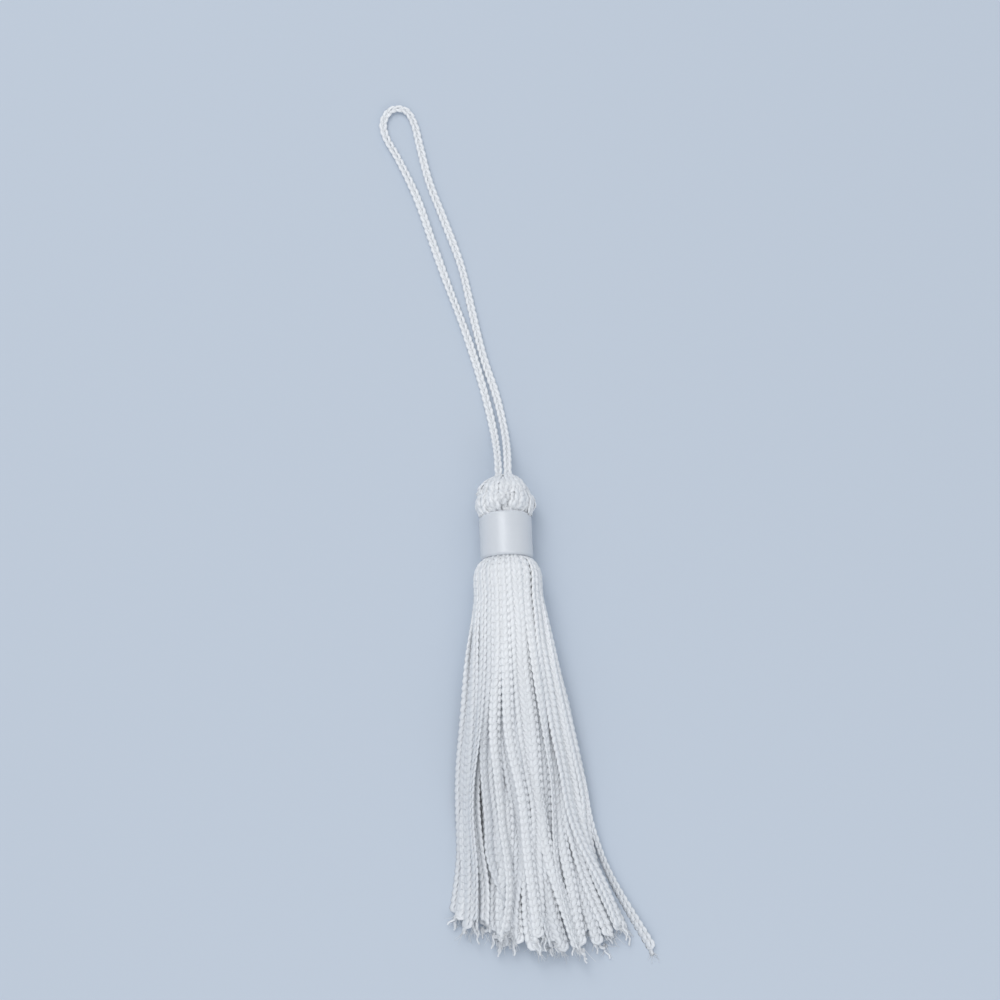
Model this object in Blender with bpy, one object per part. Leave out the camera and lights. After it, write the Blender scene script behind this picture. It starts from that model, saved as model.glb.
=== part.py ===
"""A chainette tassel lying on its back, with its hanging loop laid out above it.

Metres, +Z up. The tassel's axis runs along Y: the loop lies towards +Y and the skirt towards -Y.
The origin is on the surface, under the middle of the head, band and skirt.
"""

import math

import bmesh
import bpy
import numpy as np

# Neck band: a wrap of satin thread round the neck
BAND_RADIUS = 0.0048
BAND_WALL = 0.0005
BAND_LENGTH = 0.0082
BAND_EDGE = 0.0002  # its ends are rounded by this much
BAND_AROUND = 48
AXIS_HEIGHT = 0.00462  # a little under the band's radius, so it rests on a small flat spot
GAP = 0.0003  # between neighbouring pieces

# Place of the band's lower edge, which centres the tassel over the origin
BAND_X = -0.0017
BAND_LOWER_Y = 0.0282

# Folded strands: the neck that the band holds, and the head above it
NECK_RADIUS = BAND_RADIUS - BAND_WALL - GAP
ROOT_DEPTH = 0.0010  # the strands part from each other this far inside the band
HEAD_LENGTH = 0.0072
HEAD_AROUND = 72
# The head's folds bulge as two tiers of puffs: how many go round, how round they are, the weakest's
# height as a share of the tallest's, and how far the upper tier is turned against the lower
HEAD_PUFFS = 9
PUFF_ROUNDNESS = 0.6
PUFF_LEAST = 0.35
PUFF_TURN = 0.45
PUFF_MIDDLE = 0.45  # this share of a puff's height lies inside the ring's radius
# Rings up the head: height above the band as a share of the head's length, radius, height of a puff,
# and the tier of puffs that it cuts through
HEAD_RINGS = (
    (0.05, 0.00400, 0.0, 0),
    (0.05, 0.00495, 0.00030, 0),
    (0.13, 0.00530, 0.00065, 0),
    (0.24, 0.00548, 0.00085, 0),
    (0.35, 0.00540, 0.00085, 0),
    (0.44, 0.00510, 0.00060, 0),
    (0.51, 0.00482, 0.00015, 1),
    (0.59, 0.00485, 0.00065, 1),
    (0.69, 0.00450, 0.00085, 1),
    (0.79, 0.00390, 0.00085, 1),
    (0.89, 0.00305, 0.00060, 1),
    (0.96, 0.00220, 0.00020, 1),
    (1.00, 0.00170, 0.0, 1),
)

# Skirt: the strands as they leave the neck, ring by ring, then settle on the surface
NECK_RINGS = ((0.0, 1), (0.00088, 6), (0.00176, 12), (0.00262, 18), (0.00345, 25))
RING_TURN = 0.2  # each ring is turned this share of its pitch further
NECK_SPREAD = 0.00355  # the skirt's edge at the neck
# Sections down the skirt: distance below the band, half width, room for a strand across and up,
# height as a share of the neck's, and how freely the strands sink
SECTION_COLUMNS = ("below", "half_width", "across", "up", "height", "sink")
SKIRT_SECTIONS = (
    (0.0003, 0.0040, 0.00080, 0.00078, 1.00, 0.00),
    (0.0030, 0.0058, 0.00116, 0.00110, 1.10, 0.00),
    (0.0080, 0.0068, 0.00128, 0.00110, 1.07, 0.00),
    (0.0160, 0.0079, 0.00140, 0.00104, 0.93, 0.15),
    (0.0260, 0.0091, 0.00148, 0.00099, 0.77, 0.40),
    (0.0380, 0.0103, 0.00153, 0.00095, 0.62, 0.70),
    (0.0500, 0.0115, 0.00155, 0.00095, 0.51, 1.00),
    (0.0600, 0.0124, 0.00156, 0.00095, 0.45, 1.00),
    (0.0760, 0.0134, 0.00156, 0.00095, 0.40, 1.00),
)
SKIRT_LENGTH = 0.0710
# The strands settle at sections this far apart, from the first below the neck to the last
STEP = 0.0020
FIRST_STEP = 0.0030
LAST_STEP = 0.0755
STEPS_PER_RING = 3  # a strand's solid has one ring of corners for this many of them
STRAND_FILL = 0.72  # a strand's solid as a share of its room
LOCK_WIDTH = 0.0019  # strands gather into locks about this wide at the neck
LOCK_PHASE = 1.0
LOCK_PULL = 0.00035
STRAY_PULL = 0.0008  # each strand strays this far from its place in the fan
STRAY_TURN = 5.0  # radians of its wave from the band to the ends
FAN_PULL = 0.03  # share of the way to its place in the fan that a strand moves in a round
HEIGHT_PULL = 0.05
SWEEP = 0.0015  # the ends drift this far to one side
SINK_STEP = 0.000007
SETTLE_ROUNDS = 60
PART_ROUNDS = 40
SMOOTHINGS = 3
SEED = 3
# Ends: how much shorter the strands under the pile and at its sides are, and how uneven the cut is
SHORT_UNDER = 0.0030
SHORT_SIDES = 0.0022
UNEVEN = 0.0019
# Two loose strands at the pile's sides: which side, how far out they curl, how much longer they are
LOOSE_STRANDS = ((-1, 0.0030, 0.0015), (1, 0.0022, 0.0030))
LOOSE_HEIGHT = 0.0008  # they are taken from the strands whose ends lie below this
CURL_LENGTH = 0.0260

# Hanging loop: one cord, doubled, with both legs in the top of the head
LOOP_DIAMETER = 0.0013
LOOP_POINTS = 76
SPAN_POINTS = 24  # read along each span of the smooth route before they are spaced evenly
# The route's points in millimetres from the head's top: along x, along y, and above the surface
LOOP_ROUTE_MM = (
    (-0.85, 0.3, 4.62),
    (-0.87, 2.2, 4.55),
    (-0.95, 4.6, 3.55),
    (-1.15, 7.4, 1.75),
    (-1.55, 10.6, 0.78),
    (-2.25, 14.5, 0.66),
    (-3.70, 21.0, 0.66),
    (-5.90, 29.0, 0.66),
    (-8.60, 37.5, 0.66),
    (-11.10, 46.0, 0.66),
    (-13.60, 54.5, 0.66),
    (-16.70, 62.0, 0.66),
    (-18.90, 66.5, 0.66),
    (-19.30, 69.6, 0.66),
    (-17.70, 71.9, 0.66),
    (-15.10, 71.7, 0.66),
    (-13.60, 69.0, 0.66),
    (-12.70, 64.5, 0.66),
    (-11.20, 57.5, 0.66),
    (-8.60, 49.5, 0.66),
    (-6.00, 41.0, 0.66),
    (-4.30, 32.0, 0.66),
    (-2.60, 23.5, 0.66),
    (-0.70, 16.5, 0.66),
    (0.30, 11.4, 0.80),
    (0.75, 7.7, 1.75),
    (0.88, 4.7, 3.55),
    (0.87, 2.2, 4.55),
    (0.85, 0.3, 4.62),
)

SHARP_ANGLE = math.radians(40)


def clear_scene():
    for old in list(bpy.data.objects):
        bpy.data.objects.remove(old, do_unlink=True)


def plain_material(name, colour, roughness):
    material = bpy.data.materials.new(name)
    material.use_nodes = True
    shader = material.node_tree.nodes["Principled BSDF"]
    shader.inputs["Base Color"].default_value = (*colour, 1.0)
    shader.inputs["Roughness"].default_value = roughness
    shader.inputs["Metallic"].default_value = 0.0
    return material


def finish_mesh(name, builder, material):
    """Turn a bmesh into a named object with its faces pointing out."""
    bmesh.ops.recalc_face_normals(builder, faces=builder.faces)
    mesh = bpy.data.meshes.new(name)
    builder.to_mesh(mesh)
    builder.free()
    mesh.materials.append(material)
    mesh.shade_smooth()
    mesh.set_sharp_from_angle(angle=SHARP_ANGLE)
    made = bpy.data.objects.new(name, mesh)
    bpy.context.collection.objects.link(made)
    return made


def section_at(below):
    """The skirt's section at a distance below the band, by column name."""
    table = np.array(SKIRT_SECTIONS)
    return {
        column: np.interp(below, table[:, 0], table[:, place])
        for place, column in enumerate(SECTION_COLUMNS)
    }


def neck_places():
    """Where the strands stand in the neck, across and up from its axis: rings about a middle one."""
    places = []
    for ring, (radius, count) in enumerate(NECK_RINGS):
        for strand in range(count):
            turn = 2 * math.pi * (strand + 0.5 * (ring % 2) + RING_TURN * ring) / count
            places.append((radius * math.cos(turn), radius * math.sin(turn)))
    return np.array(places)


def push_apart(places, room, lowest):
    """Move strands that stand in each other's room half way out of it each, and lift them to the floor.

    Two strands touch where the fourth powers of their offsets, as shares of the room, add up to 1."""
    offset = places[:, None] - places[None]
    distance = ((np.abs(offset) / room) ** 4).sum(axis=2) ** 0.25
    np.fill_diagonal(distance, np.inf)
    push = np.clip(0.5 * (1 / np.maximum(distance, 0.05) - 1), 0, 0.5)
    places += 0.5 * (offset * push[:, :, None]).sum(axis=1)
    places[:, 1] = np.maximum(places[:, 1], lowest)


def settled_strands():
    """The strands' centres at each section down the skirt, as sections x strands x (across, up).

    Each section starts from the one above it. Every strand is drawn to its place in the fan, sinks,
    and is pushed out of its neighbours' room, so no strand passes through another."""
    random = np.random.default_rng(SEED)
    neck = neck_places()
    own_way = random.uniform(-1, 1, len(neck))
    own_phase = random.uniform(0, 2 * math.pi, len(neck))
    lock = LOCK_PULL * np.sin(2 * math.pi * neck[:, 0] / LOCK_WIDTH + LOCK_PHASE)
    neck_belows = [-ROOT_DEPTH, GAP, 0.5 * (GAP + FIRST_STEP)]
    belows = np.concatenate([neck_belows, np.arange(FIRST_STEP, LAST_STEP, STEP)])
    places = neck + [0, AXIS_HEIGHT]
    rows = []
    for below in belows:
        if below > GAP:
            section = section_at(below)
            room = np.array([section["across"], section["up"]])
            lowest = section["up"] * STRAND_FILL / 2
            down = below / SKIRT_LENGTH
            stray = STRAY_PULL * own_way * np.sin(own_phase + STRAY_TURN * down)
            across = neck[:, 0] / NECK_SPREAD * (section["half_width"] - room[0] / 2)
            across += down * (lock + stray) + SWEEP * down**2
            up = AXIS_HEIGHT + neck[:, 1] / NECK_SPREAD * (AXIS_HEIGHT - lowest)
            up *= section["height"]
            places = places.copy()
            for _ in range(SETTLE_ROUNDS):
                places[:, 0] += FAN_PULL * (across - places[:, 0])
                hold = HEIGHT_PULL * (1 - section["sink"])
                places[:, 1] += hold * (up - places[:, 1]) - section["sink"] * SINK_STEP
                push_apart(places, room, lowest)
                push_apart(places, room, lowest)
            for _ in range(PART_ROUNDS):
                push_apart(places, room, lowest)
        rows.append(places.copy())
    rows = np.array(rows)
    for _ in range(SMOOTHINGS):
        rows[2:-1] = 0.25 * rows[1:-2] + 0.5 * rows[2:-1] + 0.25 * rows[3:]
    lowest = section_at(belows)["up"] * STRAND_FILL / 2
    rows[:, :, 1] = np.maximum(rows[:, :, 1], lowest[:, None])
    return belows, rows


def cut_lengths(ends):
    """Each strand's length below the band: shorter underneath and at the sides, and cut unevenly."""
    random = np.random.default_rng(SEED + 1)
    height = np.clip(ends[:, 1] / ends[:, 1].max(), 0, 1)
    side = np.abs(ends[:, 0]) / np.abs(ends[:, 0]).max()
    lengths = SKIRT_LENGTH - SHORT_UNDER * (1 - height) - SHORT_SIDES * side**2
    return lengths + UNEVEN * random.uniform(-1, 1, len(ends))


def curl_loose_strands(belows, rows, lengths):
    """Let the outermost strand that lies on the surface curl out over it, on either side."""
    curl = np.clip((belows - (SKIRT_LENGTH - CURL_LENGTH)) / CURL_LENGTH, 0, None) ** 2
    on_floor = rows[-1, :, 1] < LOOSE_HEIGHT
    for side, out, longer in LOOSE_STRANDS:
        strand = np.argmax(np.where(on_floor, side * rows[-1, :, 0], -1))
        rows[:, strand, 0] += side * out * curl
        lengths[strand] += longer


def strand_rings(belows, rows, strand, length):
    """A strand's four corners at each ring: corners across and up, and the distance below the band."""
    picked = [0, 1] + list(range(3, len(belows), STEPS_PER_RING))
    distances = [belows[index] for index in picked if belows[index] < length - STEP / 2]
    distances.append(length)
    rings = []
    for below in distances:
        section = section_at(below)
        half = 0.5 * STRAND_FILL * np.array([section["across"], section["up"]])
        centre = [np.interp(below, belows, rows[:, strand, axis]) for axis in (0, 1)]
        corners = np.array([[-1, -1], [1, -1], [1, 1], [-1, 1]]) * half + centre
        rings.append((below, corners))
    return rings


def bridge(builder, first, second):
    """Quads between two rings of the same number of corners."""
    count = len(first)
    for place in range(count):
        after = (place + 1) % count
        builder.faces.new((first[place], first[after], second[after], second[place]))


def ring_at(builder, along, radii, turns):
    """A ring of points round the tassel's axis, none of them under the surface."""
    return [
        builder.verts.new((
            BAND_X + radius * math.cos(turn),
            along,
            max(0.0, AXIS_HEIGHT + radius * math.sin(turn)),
        ))
        for radius, turn in zip(radii, turns)
    ]


def puff_heights(turns):
    """How far each tier's puffs stand out at these turns: 0 in a crease, up to 1 on a puff's crown."""
    random = np.random.default_rng(SEED)
    tiers = []
    for tier in range(2):
        crowns = random.uniform(PUFF_LEAST, 1, HEAD_PUFFS)
        puffs = HEAD_PUFFS * turns / (2 * math.pi) + PUFF_TURN * tier
        bulge = np.abs(np.sin(math.pi * puffs)) ** PUFF_ROUNDNESS
        tiers.append(crowns[puffs.astype(int) % HEAD_PUFFS] * bulge)
    return tiers


def folded_strands(material):
    """Head, neck and skirt in one: the strands' roots are fused in the neck."""
    builder = bmesh.new()
    turns = np.arange(HEAD_AROUND) * 2 * math.pi / HEAD_AROUND
    puffs = puff_heights(turns)
    root_y = BAND_LOWER_Y + ROOT_DEPTH
    band_upper_y = BAND_LOWER_Y + BAND_LENGTH
    root_ring = ring_at(builder, root_y, [NECK_RADIUS] * HEAD_AROUND, turns)
    last = root_ring
    for share, radius, height, tier in HEAD_RINGS:
        radii = radius + height * (puffs[tier] - PUFF_MIDDLE)
        ring = ring_at(builder, band_upper_y + share * HEAD_LENGTH, radii, turns)
        bridge(builder, last, ring)
        last = ring
    builder.faces.new(last)

    belows, rows = settled_strands()
    lengths = cut_lengths(rows[-1])
    curl_loose_strands(belows, rows, lengths)
    root_edges = [edge for edge in builder.edges if set(edge.verts) <= set(root_ring)]
    for strand in range(rows.shape[1]):
        last = None
        for below, corners in strand_rings(belows, rows, strand, lengths[strand]):
            ring = [
                builder.verts.new((BAND_X + across, BAND_LOWER_Y - below, up))
                for across, up in corners
            ]
            if last is None:
                root = ring
            else:
                bridge(builder, last, ring)
            last = ring
        builder.faces.new(last)
        root_edges += [builder.edges.get((root[k], root[(k + 1) % 4])) for k in range(4)]
    bmesh.ops.triangle_fill(builder, use_beauty=True, edges=root_edges, normal=(0, -1, 0))
    return finish_mesh("folded_strands", builder, material)


def neck_band(material):
    """The satin wrap: a ring with softly rounded edges and a flat spot underneath."""
    builder = bmesh.new()
    turns = np.arange(BAND_AROUND) * 2 * math.pi / BAND_AROUND
    inner = BAND_RADIUS - BAND_WALL
    profile = (
        (0.0, inner),
        (0.0, BAND_RADIUS - BAND_EDGE),
        (0.3 * BAND_EDGE, BAND_RADIUS - 0.3 * BAND_EDGE),
        (BAND_EDGE, BAND_RADIUS),
        (BAND_LENGTH - BAND_EDGE, BAND_RADIUS),
        (BAND_LENGTH - 0.3 * BAND_EDGE, BAND_RADIUS - 0.3 * BAND_EDGE),
        (BAND_LENGTH, BAND_RADIUS - BAND_EDGE),
        (BAND_LENGTH, inner),
    )
    rings = [
        ring_at(builder, BAND_LOWER_Y + along, [radius] * len(turns), turns)
        for along, radius in profile
    ]
    for first, second in zip(rings, rings[1:] + rings[:1]):
        bridge(builder, first, second)
    return finish_mesh("neck_band", builder, material)


def smooth_route(points, count):
    """Evenly spaced points on a smooth curve through the given ones.

    Each span is a cubic whose slope at a point is half the step between that point's neighbours."""
    points = np.array(points)
    padded = np.vstack([2 * points[0] - points[1], points, 2 * points[-1] - points[-2]])
    share = np.linspace(0, 1, SPAN_POINTS, endpoint=False)[:, None]
    fine = []
    for before, here, there, after in zip(padded, padded[1:], padded[2:], padded[3:]):
        fine.append(
            0.5 * (2 * here + (there - before) * share
                   + (2 * before - 5 * here + 4 * there - after) * share**2
                   + (3 * here - before - 3 * there + after) * share**3)
        )
    fine = np.vstack(fine + [points[-1:]])
    along = np.concatenate([[0], np.cumsum(np.linalg.norm(np.diff(fine, axis=0), axis=1))])
    wanted = np.linspace(0, along[-1], count)
    return np.stack([np.interp(wanted, along, fine[:, axis]) for axis in range(3)], axis=1)


def hanging_loop(material):
    """The doubled cord, from one side of the head's top out to its bend and back."""
    head_top = np.array([BAND_X, BAND_LOWER_Y + BAND_LENGTH + HEAD_LENGTH, 0.0])
    route = smooth_route(np.array(LOOP_ROUTE_MM) / 1000, LOOP_POINTS) + head_top
    curve = bpy.data.curves.new("hanging_loop", "CURVE")
    curve.dimensions = "3D"
    curve.bevel_depth = LOOP_DIAMETER / 2
    curve.bevel_resolution = 2
    curve.use_fill_caps = True
    spline = curve.splines.new("POLY")
    spline.points.add(len(route) - 1)
    for point, place in zip(spline.points, route):
        point.co = (*place, 1.0)
    curve.materials.append(material)
    made = bpy.data.objects.new("hanging_loop", curve)
    bpy.context.collection.objects.link(made)
    return made


def main():
    clear_scene()
    chainette = plain_material("chainette_white", (0.86, 0.87, 0.88), 0.5)
    satin = plain_material("satin_white", (0.84, 0.86, 0.88), 0.3)
    folded_strands(chainette)
    neck_band(satin)
    hanging_loop(chainette)


main()
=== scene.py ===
import math

import bpy
import numpy as np
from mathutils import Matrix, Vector


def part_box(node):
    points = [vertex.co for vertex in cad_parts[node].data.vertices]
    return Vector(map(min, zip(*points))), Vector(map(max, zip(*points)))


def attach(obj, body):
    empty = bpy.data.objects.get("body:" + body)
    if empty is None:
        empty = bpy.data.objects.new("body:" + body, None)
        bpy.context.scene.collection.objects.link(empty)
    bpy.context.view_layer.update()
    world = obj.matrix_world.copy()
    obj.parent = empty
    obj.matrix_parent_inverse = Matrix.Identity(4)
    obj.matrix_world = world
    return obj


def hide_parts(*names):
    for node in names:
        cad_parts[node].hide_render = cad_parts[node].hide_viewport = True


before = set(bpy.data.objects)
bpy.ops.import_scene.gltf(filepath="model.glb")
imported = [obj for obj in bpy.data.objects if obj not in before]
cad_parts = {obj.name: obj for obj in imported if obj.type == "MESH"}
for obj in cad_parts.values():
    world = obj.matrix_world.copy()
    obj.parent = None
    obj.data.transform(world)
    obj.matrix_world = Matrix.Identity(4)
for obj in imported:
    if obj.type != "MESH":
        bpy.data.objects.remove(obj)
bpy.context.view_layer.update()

# Lengths are in metres unless a name or a note says otherwise

# Where the solids put the neck band, the head and the axis through them
bandLow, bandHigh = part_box("neck_band")
bandX = (bandLow.x + bandHigh.x) / 2
bandRadius = (bandHigh.x - bandLow.x) / 2
axisHeight = bandHigh.z - bandRadius
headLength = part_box("folded_strands")[1].y - bandHigh.y
bandMiddle = Vector((bandX, (bandLow.y + bandHigh.y) / 2, axisHeight))
mm = 0.001
floorGap = 0.00002

# The camera looks down on the tassel's face, a little from the skirt's side
look = {
    "elevation": 77.0,  # degrees above the surface
    "turn": -2.5,  # degrees round the upright, which swings the skirt to the right
    "distance": 0.62,
    "frameWidth": 0.180,  # across the picture at the band
    "bandPixel": (506, 537),  # where the band's middle stands in the picture
    "pixels": 1000,  # of the picture's width and height
    "sensor": 36,  # in millimetres
    "nearest": 0.01,  # nothing nearer to the camera is drawn
}


def putInScene(name, data, place=(0, 0, 0), turned=(1, 0, 0, 0)):
    placed = bpy.data.objects.new(name, data)
    placed.location = place
    placed.rotation_mode = "QUATERNION"
    placed.rotation_quaternion = turned
    bpy.context.scene.collection.objects.link(placed)
    return placed


def makeCamera():
    elevation = math.radians(look["elevation"])
    turn = math.radians(look["turn"])
    toCamera = Vector((
        math.sin(turn) * math.cos(elevation),
        -math.cos(turn) * math.cos(elevation),
        math.sin(elevation),
    ))
    turned = toCamera.to_track_quat("Z", "Y")
    perPixel = look["frameWidth"] / look["pixels"]
    middle = look["pixels"] / 2
    across, down = look["bandPixel"]
    aim = bandMiddle + turned @ Vector((middle - across, down - middle, 0)) * perPixel
    camera = bpy.data.cameras.new("camera")
    camera.sensor_width = look["sensor"]
    camera.lens = camera.sensor_width * look["distance"] / look["frameWidth"]
    camera.clip_start = look["nearest"]
    place = aim + toCamera * look["distance"]
    bpy.context.scene.camera = putInScene("camera", camera, place, turned)


makeCamera()
print("camera made")


def linearColour(hexText):
    # each sRGB channel c becomes c / 12.92 below 0.04045, and ((c + 0.055) / 1.055) ** 2.4 above
    channels = np.array([int(hexText[at:at + 2], 16) for at in (1, 3, 5)]) / 255
    linear = np.where(channels > 0.04045, ((channels + 0.055) / 1.055) ** 2.4, channels / 12.92)
    return (*linear.tolist(), 1.0)


def addNode(material, kind, settings=None, links=None):
    # settings are the node's own properties and, by socket name, its values; links feed its sockets
    node = material.node_tree.nodes.new("ShaderNode" + kind)
    for name, value in (settings or {}).items():
        if name in node.inputs:
            node.inputs[name].default_value = value
        else:
            setattr(node, name, value)
    for name, source in (links or {}).items():
        material.node_tree.links.new(source, node.inputs[name])
    return node


def newMaterial(name):
    material = bpy.data.materials.new(name)
    material.use_nodes = True
    material.node_tree.nodes.clear()
    return material


def unit(vectors):
    return vectors / np.linalg.norm(vectors, axis=-1, keepdims=True)


def fullTurn(count):
    # angles evenly round a circle, in radians
    return 2 * np.pi * np.arange(count) / count


def aboutAxis(radii, turns, ups):
    # points about the tassel's axis: radius x cos(turn) across and radius x sin(turn) upwards
    across, ups = np.broadcast_arrays(bandX + radii * np.cos(turns), ups)
    return np.stack([across, ups, axisHeight + radii * np.sin(turns)], axis=-1)


def between(ends, share):
    return ends[0] + (ends[1] - ends[0]) * share


def smoothRoute(points, count, perSpan=24):
    # each span is a cubic whose slope at a point is half the step between the point's neighbours,
    # worked out at perSpan shares of it, and the curve is then read at even distances
    points = np.array(points, float)
    padded = np.vstack([2 * points[0] - points[1], points, 2 * points[-1] - points[-2]])
    before, here, there, after = (padded[at:len(points) - 1 + at, None] for at in range(4))
    share = np.linspace(0, 1, perSpan, endpoint=False)[None, :, None]
    fine = 0.5 * (
        2 * here + (there - before) * share
        + (2 * before - 5 * here + 4 * there - after) * share**2
        + (3 * here - before - 3 * there + after) * share**3
    )
    fine = np.vstack([fine.reshape(-1, points.shape[1]), points[-1:]])
    along = distanceAlong(fine)
    return readAt(fine, along, np.linspace(0, along[-1], count))


def distanceAlong(path):
    return np.concatenate([[0], np.cumsum(np.linalg.norm(np.diff(path[:, :3], axis=0), axis=1))])


def readAt(values, along, wanted):
    # each column of values, read between its rows at the wanted distances
    return np.stack([np.interp(wanted, along, column) for column in values.T], axis=-1)


def smoothRows(rows):
    # each inner row becomes half of itself and a quarter of each neighbour
    rows[1:-1] = 0.25 * rows[:-2] + 0.5 * rows[1:-1] + 0.25 * rows[2:]


def ringQuads(corner):
    # quads between neighbouring rings of corners
    after = np.roll(corner, -1, axis=1)
    return np.stack([corner[:-1], after[:-1], after[1:], corner[1:]], axis=-1).reshape(-1, 4)


def ringUvs(sides, along):
    # for the same quads: u is the share of the turn, v the distance along
    side = np.arange(sides)
    u = np.stack([side, side + 1, side + 1, side], axis=-1)[None] / sides
    v = np.stack([along[:-1], along[:-1], along[1:], along[1:]], axis=-1)[:, None]
    return np.stack(np.broadcast_arrays(u, v), axis=-1).reshape(-1, 4, 2)


def endFans(corner):
    # triangles from a point in the middle of each end ring
    middle = np.full(corner.shape[1], corner.size)
    after = np.roll(corner, -1, axis=1)
    return np.vstack([
        np.stack([after[0], corner[0], middle], axis=-1),
        np.stack([corner[-1], after[-1], middle + 1], axis=-1),
    ])


def joinTubes(tubes, shades):
    # tubes are arrays of rings x sides x 3, and a shade is a number or a row of one for each ring;
    # gives the joined mesh's points, faces, UVs and shades, where u is the turn round the yarn plus
    # its twist, and v the distance along it in millimetres
    points, quads, fans, quadUvs, fanUvs, tones = [], [], [], [], [], []
    start = 0
    for tube, shade in zip(tubes, shades):
        rings, sides = tube.shape[:2]
        corner = np.arange(rings * sides).reshape(rings, sides)
        points.append(np.vstack([tube.reshape(-1, 3), tube[0].mean(axis=0), tube[-1].mean(axis=0)]))
        quads.append(ringQuads(corner) + start)
        fans.append(endFans(corner) + start)
        uvs = ringUvs(sides, distanceAlong(tube.mean(axis=1)) / mm)
        uvs[..., 0] += chainette["yarnTwist"] * uvs[..., 1]
        quadUvs.append(uvs.reshape(-1, 2))
        fanUvs.append(np.zeros((fans[-1].size, 2)))
        ringTones = np.broadcast_to(shade, rings)
        tones.append(np.concatenate([np.repeat(ringTones, sides), ringTones[[0, -1]]]))
        start += rings * sides + 2
    faces = [*np.vstack(quads).tolist(), *np.vstack(fans).tolist()]
    return np.vstack(points), faces, np.vstack(quadUvs + fanUvs), np.concatenate(tones)


def meshPiece(name, points, faces, uvs, tones=None):
    # faces list their corners, and uvs has a row for each corner in the same order
    mesh = bpy.data.meshes.new(name)
    mesh.from_pydata(points, [], faces)
    mesh.uv_layers.new(name="alongYarn").data.foreach_set("uv", uvs.astype(np.float32).ravel())
    if tones is not None:
        mesh.attributes.new("strandToneAndShade", "FLOAT", "POINT").data.foreach_set(
            "value", tones.astype(np.float32))
    mesh.validate()
    mesh.shade_smooth()
    return putInScene(name, mesh)


# One chain stitch of the knitted cord, in millimetres: across, along and outwards. The yarn rises
# from the left foot round the loop's head to the right foot, then links behind to the next foot
chainette = {
    "pitch": 1.30,
    "drawnPitch": 1.25,  # the pitch that the route below is drawn for
    "route": (
        (-0.12, 0.00, -0.07), (-0.40, 0.45, 0.17), (-0.52, 0.95, 0.11), (-0.42, 1.40, -0.03),
        (0.00, 1.62, -0.20), (0.42, 1.40, -0.03), (0.52, 0.95, 0.11), (0.40, 0.45, 0.17),
        (0.12, 0.00, -0.07), (0.20, 0.10, -0.26), (-0.05, 0.75, -0.34),
    ),
    "yarnRadius": 0.29,
    "pressedRadius": 0.36,
    "pressedScale": (0.92, 1.0, 0.52),
    "sides": 8,
    "yarnTwist": 0.12,  # turns for each millimetre of yarn
    "lastStitch": 0.4,  # share of the last stitch that its path has to hold
}


def stitchRings(yarnRadius):
    # the yarn's rings through one stitch: about each route point, radius x (cos a n + sin a b),
    # where n and b stand square to the route and are carried from point to point with no twist
    stretch = chainette["pitch"] / chainette["drawnPitch"]
    route = np.array(chainette["route"]) * [1, stretch, 1]
    step = np.array([0, chainette["pitch"], 0])
    ahead = np.vstack([route[1:], route[:1] + step])
    behind = np.vstack([route[-1:] - step, route[:-1]])
    tangents = unit(ahead - behind)
    normals = [np.array([0.0, 0.0, 1.0])]
    for tangent in [*tangents, tangents[0]]:
        carried = normals[-1] - normals[-1] @ tangent * tangent
        normals.append(carried / np.linalg.norm(carried))
    first, last = normals[1], normals[-1]
    sine = np.cross(last, first) @ tangents[0]
    untwist = np.arctan2(sine, last @ first)
    normals = np.array(normals[1:-1])
    binormals = np.cross(tangents, normals)
    share = np.arange(len(route)) / len(route)
    angles = fullTurn(chainette["sides"])[None] + untwist * share[:, None]
    around = (np.cos(angles)[..., None] * normals[:, None]
              + np.sin(angles)[..., None] * binormals[:, None])
    return route[:, None] + yarnRadius * around


looseStitch = stitchRings(chainette["yarnRadius"])
pressedStitch = stitchRings(chainette["pressedRadius"]) * chainette["pressedScale"]


def keepOffFloor(points, room=floorGap):
    points[..., 2] = np.maximum(points[..., 2], room)


def knitAlong(path, outward, width, thickness, press, start=0.0):
    # carries the stitch's rings along a path: point = path(s) + across x width x side(s)
    # + out x thickness x outward(s), at the distance s = along + stitch number x pitch; press
    # blends the loose stitch, at 0, into the flattened one, at 1
    along = distanceAlong(path)
    tangents = unit(np.gradient(path, axis=0))
    outward = unit(outward - (outward * tangents).sum(axis=1, keepdims=True) * tangents)
    sides = np.cross(tangents, outward)
    pitch = chainette["pitch"] * mm
    count = max(1, int((along[-1] - start) / pitch - chainette["lastStitch"]))
    steps = np.arange(count)[:, None, None, None] * [0, pitch, 0] + [0, start, 0]
    loose, pressed = (
        (rings[None] * mm + steps).reshape(-1, *rings.shape[1:])
        for rings in (looseStitch, pressedStitch)
    )
    share = np.interp(loose[..., 1], along, press)[..., None]
    rings = loose + share * (pressed - loose)
    at = rings[..., 1]
    past = np.clip(at - along[-1], 0, None)[..., None] * tangents[-1]
    past += np.clip(at, None, 0)[..., None] * tangents[0]
    across = rings[..., 0] * np.interp(at, along, width)
    out = rings[..., 2] * np.interp(at, along, thickness)
    return (readAt(path, along, at) + past + across[..., None] * readAt(sides, along, at)
            + out[..., None] * readAt(outward, along, at))


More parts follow.
